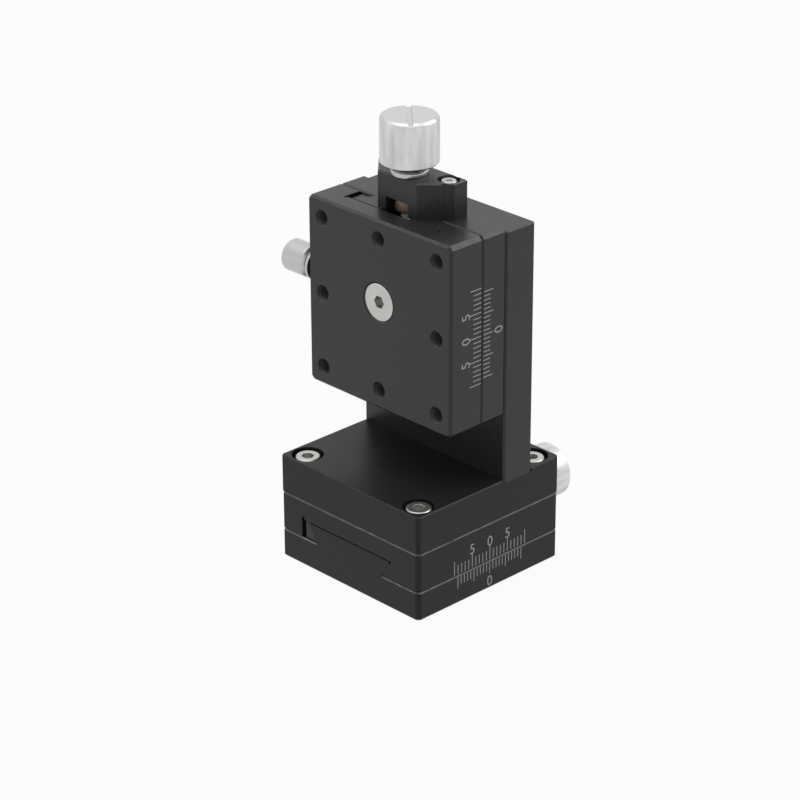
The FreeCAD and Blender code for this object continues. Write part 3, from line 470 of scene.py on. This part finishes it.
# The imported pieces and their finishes

finishes = {
    "upright": blacks["upperAnodised"], "foot_plate": blacks["footShadedAnodised"],
    "gib": metals["blackOxide"],
    "gib_screws": metals["blackOxide"], "lock_plate_screws": metals["blackOxide"],
    "z_base_screws": metals["blackOxide"], "upright_screws": metals["blackOxide"],
    "foot_screws": metals["nickelPlate"], "nut_screw": metals["nickelPlate"],
    "bracket_screws": metals["nickelPlate"], "knob_bush": metals["nickelPlate"],
    "feed_nut": metals["shadeDarkenedBrass"], "thrust_collar": metals["shadeDarkenedBrass"],
    "feed_screw": metals["groundSteel"],
}


def axisPlace(prefix, node, along):
    # The frame of a turned piece: its middle, with z along the feed axis or the lock screw
    low, high = stageBox(prefix, node)
    middle = (low + high) / 2
    turn = (Matrix.Rotation(math.radians(-90), 4, "X") if along == "feed"
            else Matrix.Rotation(math.radians(-90), 4, "Y"))
    return stages[prefix]["place"] @ Matrix.Translation(middle) @ turn


turnedFinishes = {
    f"{prefix}_{node}": makeTurned(f"{prefix}_{node}_finish", look, turnedLines,
                                   axisPlace(prefix, node, look["along"]))
    for prefix in stages for node, look in turned.items()
}

for name in ("base_plate", "carriage"):
    finishes[f"y_{name}"] = blacks["lowerShadedAnodised"]
    finishes[f"z_{name}"] = blacks["upperAnodised"]
for name in ("end_bracket", "lock_plate"):
    finishes[f"y_{name}"] = blacks["footShadedAnodised"]
    finishes[f"z_{name}"] = blacks["upperAnodised"]


def finishOf(name):
    return turnedFinishes.get(name) or finishes.get(name) or finishes[name[2:]]


for name, node in nodes.items():
    for materialSlot in node.material_slots:
        materialSlot.material = finishOf(name)
print("packed pieces finished")


# New pieces

def meshOf(bm, name):
    mesh = bpy.data.meshes.new(name)
    bm.to_mesh(mesh)
    bm.free()
    return mesh


def joinMesh(bm, part):
    mesh = meshOf(part, "joined")
    bm.from_mesh(mesh)
    bpy.data.meshes.remove(mesh)


def moveMesh(bm, matrix):
    bmesh.ops.transform(bm, matrix=matrix, verts=bm.verts[:])


def finishPiece(name, bm, material, body, smoothTo=35):
    # Makes the mesh an object at the origin that rides on a body; edges bent more than
    # smoothTo degrees stay sharp
    mesh = meshOf(bm, name)
    mesh.shade_smooth()
    mesh.set_sharp_from_angle(angle=math.radians(smoothTo))
    mesh.materials.append(material)
    piece = addToScene(name, mesh)
    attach(piece, body)
    return piece


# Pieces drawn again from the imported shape, joined, smoothly shaded and with softened edges,
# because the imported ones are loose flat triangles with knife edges

softEdges = {
    "feed_knob": 0.10 * mm, "lock_screw": 0.12 * mm, "knob_bush": 0.08 * mm,
    "thrust_collar": 0.08 * mm, "nut_screw": 0.05 * mm, "foot_screws": 0.06 * mm,
    "bracket_screws": 0.05 * mm, "lock_plate_screws": 0.05 * mm, "end_bracket": 0.05 * mm,
    "lock_plate": 0.05 * mm, "carriage": 0.05 * mm, "base_plate": 0.05 * mm,
    "foot_plate": 0.06 * mm, "upright": 0.06 * mm,
}
softening = {
    "merge": 0.0005 * mm,         # corners nearer than this become one
    "flat": math.radians(1),      # facets bent less than this become one face
    "sharp": math.radians(25),    # edges bent more than this are softened
    "segments": 2,
    "smoothTo": 60,
}
slimmer = {                       # share of the width kept, and the axis it is measured round
    "foot_screws": (0.94, "z"), "z_bracket_screws": (0.82, "z"), "y_bracket_screws": (0.82, "y"),
    "z_nut_screw": (0.95, "y"), "z_thrust_collar": (0.88, "z"), "y_thrust_collar": (0.88, "y"),
}
screwMouth = {
    "node": "z_carriage", "radius": 4.1 * mm, "wider": 4.7 * mm, "margin": 0.1 * mm,
    "faceDepth": 0.01 * mm,
}
knobSlot = {"depth": 0.9 * mm, "shallower": 0.5 * mm, "margin": 0.02 * mm}
bracketCut = {                    # in the stage's frame, from its middle
    "window": 4.2 * mm, "narrower": 3.15 * mm, "margin": 0.05 * mm,
    "groove": (9.64 * mm, 6.45 * mm), "grooveRadius": 1.0 * mm, "grooveSides": 32,
    "grooveFrom": 19 * mm, "grooveTo": 28 * mm,
}
bodyOf = {name: body for body, names in frame["record"]["behaviour"]["bodies"].items()
          for name in names}


def looseParts(bm):
    # Lists the corners of each separate solid
    left = set(bm.verts)
    parts = []
    while left:
        found, rim = set(), {left.pop()}
        while rim:
            found |= rim
            rim = {edge.other_vert(vert) for vert in rim for edge in vert.link_edges} - found
        left -= found
        parts.append(list(found))
    return parts


def makeSlimmer(bm, share, axis):
    # Narrows each solid round its own middle, and keeps its length along the axis
    factor = [1 if letter == axis else share for letter in "xyz"]
    for verts in looseParts(bm):
        spans = [[vert.co[index] for vert in verts] for index in range(3)]
        middle = Vector([(min(span) + max(span)) / 2 for span in spans])
        bmesh.ops.scale(bm, vec=factor, space=Matrix.Translation(-middle), verts=verts)


def widenMouth(bm, mouth):
    # Opens the screw's countersink where it meets the face, so that a dark gap rings the head
    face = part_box(mouth["node"])[0].y
    screwLow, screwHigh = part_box("z_nut_screw")
    centre = (screwLow + screwHigh) / 2
    for vert in bm.verts:
        away = Vector((vert.co.x - centre.x, 0, vert.co.z - centre.z))
        onFace = vert.co.y - face < mouth["faceDepth"]
        if onFace and away.length < mouth["radius"] + mouth["margin"]:
            vert.co += away.normalized() * (mouth["wider"] - away.length)


def fillSlot(bm, prefix, sizes):
    # Raises the floor of the coin slot in the knob's end
    place = stages[prefix]["place"]
    end = stageBox(prefix, "feed_knob")[1].y
    moveMesh(bm, place.inverted())
    for vert in bm.verts:
        if abs(end - sizes["depth"] - vert.co.y) < sizes["margin"]:
            vert.co.y = end - sizes["shallower"]
    moveMesh(bm, place)


def trimBracket(bm, prefix, sizes):
    # A narrower window for the collar and an upright groove beside each screw
    place = stages[prefix]["place"]
    moveMesh(bm, place.inverted())
    for vert in bm.verts:
        if abs(abs(vert.co.x) - sizes["window"]) < sizes["margin"]:
            vert.co.x = math.copysign(sizes["narrower"], vert.co.x)
    tool = bmesh.new()
    length = sizes["grooveTo"] - sizes["grooveFrom"]
    for side in (-1, 1):
        spot = Matrix.Translation((side * sizes["groove"][0], sizes["grooveFrom"] + length / 2,
                                   sizes["groove"][1]))
        bmesh.ops.create_cone(tool, cap_ends=True, segments=sizes["grooveSides"],
                              radius1=sizes["grooveRadius"], radius2=sizes["grooveRadius"],
                              depth=length,
                              matrix=spot @ Matrix.Rotation(math.radians(90), 4, "X"))
    blank = addToScene("bracketBlank", meshOf(bm, "bracketBlank"))
    cutter = addToScene("grooveCutter", meshOf(tool, "grooveCutter"))
    grooves = blank.modifiers.new("grooves", "BOOLEAN")
    grooves.operation = "DIFFERENCE"
    grooves.solver = "EXACT"
    grooves.object = cutter
    bpy.context.view_layer.update()
    trimmed = bpy.data.meshes.new_from_object(
        blank.evaluated_get(bpy.context.evaluated_depsgraph_get()))
    trimmed.transform(place)
    made = bmesh.new()
    made.from_mesh(trimmed)
    for thing in (blank, cutter):
        data = thing.data
        bpy.data.objects.remove(thing)
        bpy.data.meshes.remove(data)
    bpy.data.meshes.remove(trimmed)
    return made


def drawSofter(name, width):
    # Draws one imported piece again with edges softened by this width
    bm = bmesh.new()
    bm.from_mesh(nodes[name].data)
    bmesh.ops.remove_doubles(bm, verts=bm.verts[:], dist=softening["merge"])
    bmesh.ops.dissolve_limit(bm, angle_limit=softening["flat"], verts=bm.verts[:],
                             edges=bm.edges[:])
    if name in slimmer:
        makeSlimmer(bm, *slimmer[name])
    if name == screwMouth["node"]:
        widenMouth(bm, screwMouth)
    if name[2:] == "feed_knob":
        fillSlot(bm, name[0], knobSlot)
    if name[2:] == "end_bracket":
        bm = trimBracket(bm, name[0], bracketCut)
    sharp = [edge for edge in bm.edges
             if edge.is_manifold and edge.calc_face_angle() > softening["sharp"]]
    bmesh.ops.bevel(bm, geom=sharp, offset=width, segments=softening["segments"], profile=0.5,
                    affect="EDGES", clamp_overlap=True, material=-1)
    piece = finishPiece(f"{name}_finished", bm, finishOf(name), bodyOf[name],
                        smoothTo=softening["smoothTo"])
    piece.modifiers.new("evenShading", "WEIGHTED_NORMAL")
    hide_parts(name)


for name in nodes:
    if name in softEdges or name[2:] in softEdges:
        drawSofter(name, softEdges.get(name) or softEdges[name[2:]])
print("pieces softened")


# Engraved scales: the carriage carries the main scale and the base plate the vernier

scale = {
    "divisions": 10,              # each way from zero
    "longEvery": 5,
    "mainStep": 1.0 * mm,
    "vernierStep": 0.9 * mm,
    "mainLines": (2.15 * mm, 3.1 * mm),      # short and long
    "vernierLines": (1.85 * mm, 2.6 * mm),
    "lineWidth": 0.20 * mm,
    "lineCorner": 0.06 * mm,
    "seamChamfer": 0.3 * mm,
    "seamGap": 0.05 * mm,
    "shift": {"y": 0, "z": -0.55 * mm},      # of the zero lines along the travel
    "numeralHeight": 2.2 * mm,
    "numeralFromSeam": 4.45 * mm,
    "proud": 0.004 * mm,
    "sunk": 0.02 * mm,
}


def addLines(bm, sizes, lines, step, face, zero, seam, direction):
    for count in range(-sizes["divisions"], sizes["divisions"] + 1):
        length = lines[1] if count % sizes["longEvery"] == 0 else lines[0]
        thick = sizes["proud"] + sizes["sunk"]
        centre = Vector((face + sizes["proud"] - thick / 2, zero + count * step,
                         seam + direction * length / 2))
        shape = Matrix.Diagonal((thick, sizes["lineWidth"], length, 1))
        made = bmesh.ops.create_cube(bm, size=1, matrix=Matrix.Translation(centre) @ shape)
        edges = dict.fromkeys(edge for vert in made["verts"] for edge in vert.link_edges)
        corners = [edge for edge in edges
                   if abs(edge.verts[0].co.x - edge.verts[1].co.x) > thick / 2]
        bmesh.ops.bevel(bm, geom=corners, offset=sizes["lineCorner"], segments=2, profile=0.5,
                        affect="EDGES", material=-1)


def addNumeral(bm, text, sizes, face, along, height):
    curve = bpy.data.curves.new("numeral", "FONT")
    curve.body = text
    curve.extrude = 0.5           # both ways, so it is 1 thick before it is scaled
    holder = bpy.data.objects.new("numeral", curve)
    mesh = bpy.data.meshes.new_from_object(holder)
    across = [vertex.co.x for vertex in mesh.vertices]
    up = [vertex.co.y for vertex in mesh.vertices]
    middle = Vector(((min(across) + max(across)) / 2, (min(up) + max(up)) / 2, 0))
    grow = sizes["numeralHeight"] / (max(up) - min(up))
    thick = sizes["proud"] + sizes["sunk"]
    stand = Matrix(((0, 0, 1), (1, 0, 0), (0, 1, 0))).to_4x4()   # text x along y, text y up z
    place = Matrix.Translation((face + sizes["proud"] - thick / 2, along, height)) @ stand
    mesh.transform(place @ Matrix.Diagonal((grow, grow, thick, 1)) @ Matrix.Translation(-middle))
    bm.from_mesh(mesh)
    bpy.data.meshes.remove(mesh)
    bpy.data.objects.remove(holder)
    bpy.data.curves.remove(curve)


def makeScale(prefix, sizes):
    low, high = stageBox(prefix, "carriage")
    face, seam, zero = high.x, low.z, sizes["shift"][prefix]
    main = bmesh.new()
    addLines(main, sizes, sizes["mainLines"], sizes["mainStep"], face, zero,
             seam + sizes["seamChamfer"], 1)
    for count in (-sizes["longEvery"], 0, sizes["longEvery"]):
        addNumeral(main, str(abs(count)), sizes, face, zero + count * sizes["mainStep"],
                   seam + sizes["numeralFromSeam"])
    vernier = bmesh.new()
    lower = seam - sizes["seamGap"]
    addLines(vernier, sizes, sizes["vernierLines"], sizes["vernierStep"], face, zero,
             lower - sizes["seamChamfer"], -1)
    addNumeral(vernier, "0", sizes, face, zero, lower - sizes["numeralFromSeam"])
    for name, bm, body in (("main_scale", main, "slide"), ("vernier_scale", vernier, "base")):
        moveMesh(bm, stages[prefix]["place"])
        finishPiece(f"{prefix}_{name}", bm, white, stages[prefix][body])


for prefix in stages:
    makeScale(prefix, scale)
print("scales engraved")


# Screw threads: a V profile turned round z and raised by the pitch each turn

threadSteps = 20                  # to one turn
weld = 0.001 * mm                 # corners nearer than this become one


def turnThread(bm, root, crest, pitch, low, high):
    turns = int((high - low) / pitch)
    corners = [bm.verts.new((radius, 0, low + rise))
               for radius, rise in ((root, 0), (crest, pitch / 2), (root, pitch))]
    sides = [bm.edges.new(pair) for pair in zip(corners, corners[1:])]
    bmesh.ops.spin(bm, geom=corners + sides, cent=(0, 0, 0), axis=(0, 0, 1),
                   dvec=(0, 0, pitch / threadSteps), angle=2 * math.pi * turns,
                   steps=threadSteps * turns, use_merge=False)
    bmesh.ops.remove_doubles(bm, verts=bm.verts[:], dist=weld)


# Threads inside the front carriage's mounting holes, near black as painted shade in the holes

mountThread = {
    "holePitch": 32 * mm,
    "major": 1.5 * mm,
    "minor": 1.25 * mm,
    "pitch": 0.5 * mm,
    "mouth": 0.35 * mm,           # plain bevel before the first turn
    "cornerDepth": 6.0 * mm,
    "edgeDepth": 4.0 * mm,
}


def makeMountThreads(sizes):
    top = stageBox("z", "carriage")[1].z
    half = sizes["holePitch"] / 2
    whole = bmesh.new()
    for across in (-1, 0, 1):
        for along in (-1, 0, 1):
            if across == along == 0:
                continue
            depth = sizes["cornerDepth"] if across and along else sizes["edgeDepth"]
            bm = bmesh.new()
            turnThread(bm, sizes["major"], sizes["minor"], sizes["pitch"],
                       top - depth + sizes["mouth"], top - sizes["mouth"])
            bmesh.ops.reverse_faces(bm, faces=bm.faces[:])
            place = Matrix.Translation((across * half, along * half, 0))
            moveMesh(bm, stages["z"]["place"] @ place)
            joinMesh(whole, bm)
    finishPiece("front_mount_threads", whole, metals["threadShadeBlack"], "front_carriage",
                smoothTo=40)


makeMountThreads(mountThread)


# Feed screws with their fine thread, in place of the plain packed ones

feedScrew = {
    "depth": 0.25 * mm,
    "pitch": 0.5 * mm,
    "threadEnd": 19.8 * mm,       # from the stage's middle
    "tip": 0.2,                   # bevel at the end, as a share of the root's radius
    "sunk": 0.01 * mm,            # of the thread's foot under the root
    "sides": 40,
}


def makeFeedScrew(prefix, sizes):
    low, high = stageBox(prefix, "feed_screw")
    radius = (high.x - low.x) / 2
    root = radius - sizes["depth"]
    tip = root * sizes["tip"]
    bm = bmesh.new()
    rim = [bm.verts.new((across, 0, along)) for across, along in (
        (0, low.y), (root - tip, low.y), (root, low.y + tip), (root, sizes["threadEnd"]),
        (radius, sizes["threadEnd"] + sizes["depth"]), (radius, high.y), (0, high.y))]
    edges = [bm.edges.new(pair) for pair in zip(rim, rim[1:])]
    bmesh.ops.spin(bm, geom=rim + edges, cent=(0, 0, 0), axis=(0, 0, 1), dvec=(0, 0, 0),
                   angle=2 * math.pi, steps=sizes["sides"], use_merge=True)
    bmesh.ops.remove_doubles(bm, verts=bm.verts[:], dist=weld)
    bmesh.ops.recalc_face_normals(bm, faces=bm.faces[:])
    ridge = bmesh.new()
    turnThread(ridge, root - sizes["sunk"], radius, sizes["pitch"], low.y + tip,
               sizes["threadEnd"])
    joinMesh(bm, ridge)
    axis = Matrix.Translation(((low.x + high.x) / 2, 0, (low.z + high.z) / 2))
    axis = axis @ Matrix.Rotation(math.radians(-90), 4, "X")
    moveMesh(bm, stages[prefix]["place"] @ axis)
    piece = finishPiece(f"{prefix}_threaded_screw", bm, metals["groundSteel"],
                        stages[prefix]["feed"])
    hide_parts(f"{prefix}_feed_screw")


for prefix in stages:
    makeFeedScrew(prefix, feedScrew)
print("threads turned")


# Floor, light and background

room = {
    "floorSize": 6.0,
    "floorDrop": 0.02 * mm,       # under the object, so that the two don't share a plane
    "floorColour": (0.50, 0.50, 0.50),
    "floorFade": 0.95,            # how far the floor's picture fades to plain white
    "surround": 0.45,             # soft light from all round
}
plainWhite = (1, 1, 1, 1)


def seenRays(tree):
    # 1 for camera, glossy and transmission rays
    path = addNode(tree, "ShaderNodeLightPath")
    shiny = maths(tree, "MAXIMUM", path.outputs["Is Glossy Ray"],
                  path.outputs["Is Transmission Ray"])
    return maths(tree, "MAXIMUM", path.outputs["Is Camera Ray"], shiny)


def makeFloor(look):
    bm = bmesh.new()
    bmesh.ops.create_grid(bm, x_segments=1, y_segments=1, size=look["floorSize"] / 2)
    mesh = meshOf(bm, "floor")
    floor = addToScene("floor", mesh)
    floor.location.z = -look["floorDrop"]
    material = bpy.data.materials.new("paleFloor")
    material.use_nodes = True
    tree = material.node_tree
    tree.nodes.clear()
    paint = addNode(tree, "ShaderNodeBsdfDiffuse")
    paint.inputs["Color"].default_value = (*look["floorColour"], 1)
    glow = addNode(tree, "ShaderNodeEmission")
    glow.inputs["Color"].default_value = plainWhite
    mix = addNode(tree, "ShaderNodeMixShader")
    link(tree, maths(tree, "MULTIPLY", seenRays(tree), look["floorFade"]), mix.inputs[0])
    link(tree, paint.outputs[0], mix.inputs[1])
    link(tree, glow.outputs[0], mix.inputs[2])
    output = addNode(tree, "ShaderNodeOutputMaterial")
    link(tree, mix.outputs[0], output.inputs["Surface"])
    mesh.materials.append(material)


def makeSurround(look):
    world = bpy.data.worlds.new("softSurround")
    bpy.context.scene.world = world
    world.use_nodes = True
    tree = world.node_tree
    tree.nodes.clear()
    light = addNode(tree, "ShaderNodeBackground")
    light.inputs["Color"].default_value = plainWhite
    light.inputs["Strength"].default_value = look["surround"]
    plain = addNode(tree, "ShaderNodeBackground")
    plain.inputs["Color"].default_value = plainWhite
    mix = addNode(tree, "ShaderNodeMixShader")
    link(tree, seenRays(tree), mix.inputs[0])
    link(tree, light.outputs[0], mix.inputs[1])
    link(tree, plain.outputs[0], mix.inputs[2])
    output = addNode(tree, "ShaderNodeOutputWorld")
    link(tree, mix.outputs[0], output.inputs["Surface"])


lamps = {
    "topSoftbox": {"place": (-0.05, -0.10, 0.75), "size": 0.60, "watts": 1.5},
    "leftSoftbox": {"place": (-0.56, -0.38, 0.58), "size": 0.80, "watts": 2.2,
                    "mirrored": False},
    "rightSoftbox": {"place": (0.34, 0.50, 0.54), "size": 0.45, "watts": 1.6},
}


def addLamp(name, lamp):
    data = bpy.data.lights.new(name, "AREA")
    data.shape = "SQUARE"
    data.size = lamp["size"]
    data.energy = lamp["watts"]
    holder = addToScene(name, data)
    holder.visible_glossy = lamp.get("mirrored", True)    # whether metal shows the lamp
    place = Vector(lamp["place"])
    aim = (place - Vector(cameraView["target"])).to_track_quat("Z", "Y")
    holder.matrix_world = Matrix.Translation(place) @ aim.to_matrix().to_4x4()


makeFloor(room)
makeSurround(room)
for name, lamp in lamps.items():
    addLamp(name, lamp)
bpy.context.scene.view_settings.view_transform = "Standard"
print("floor and light ready")
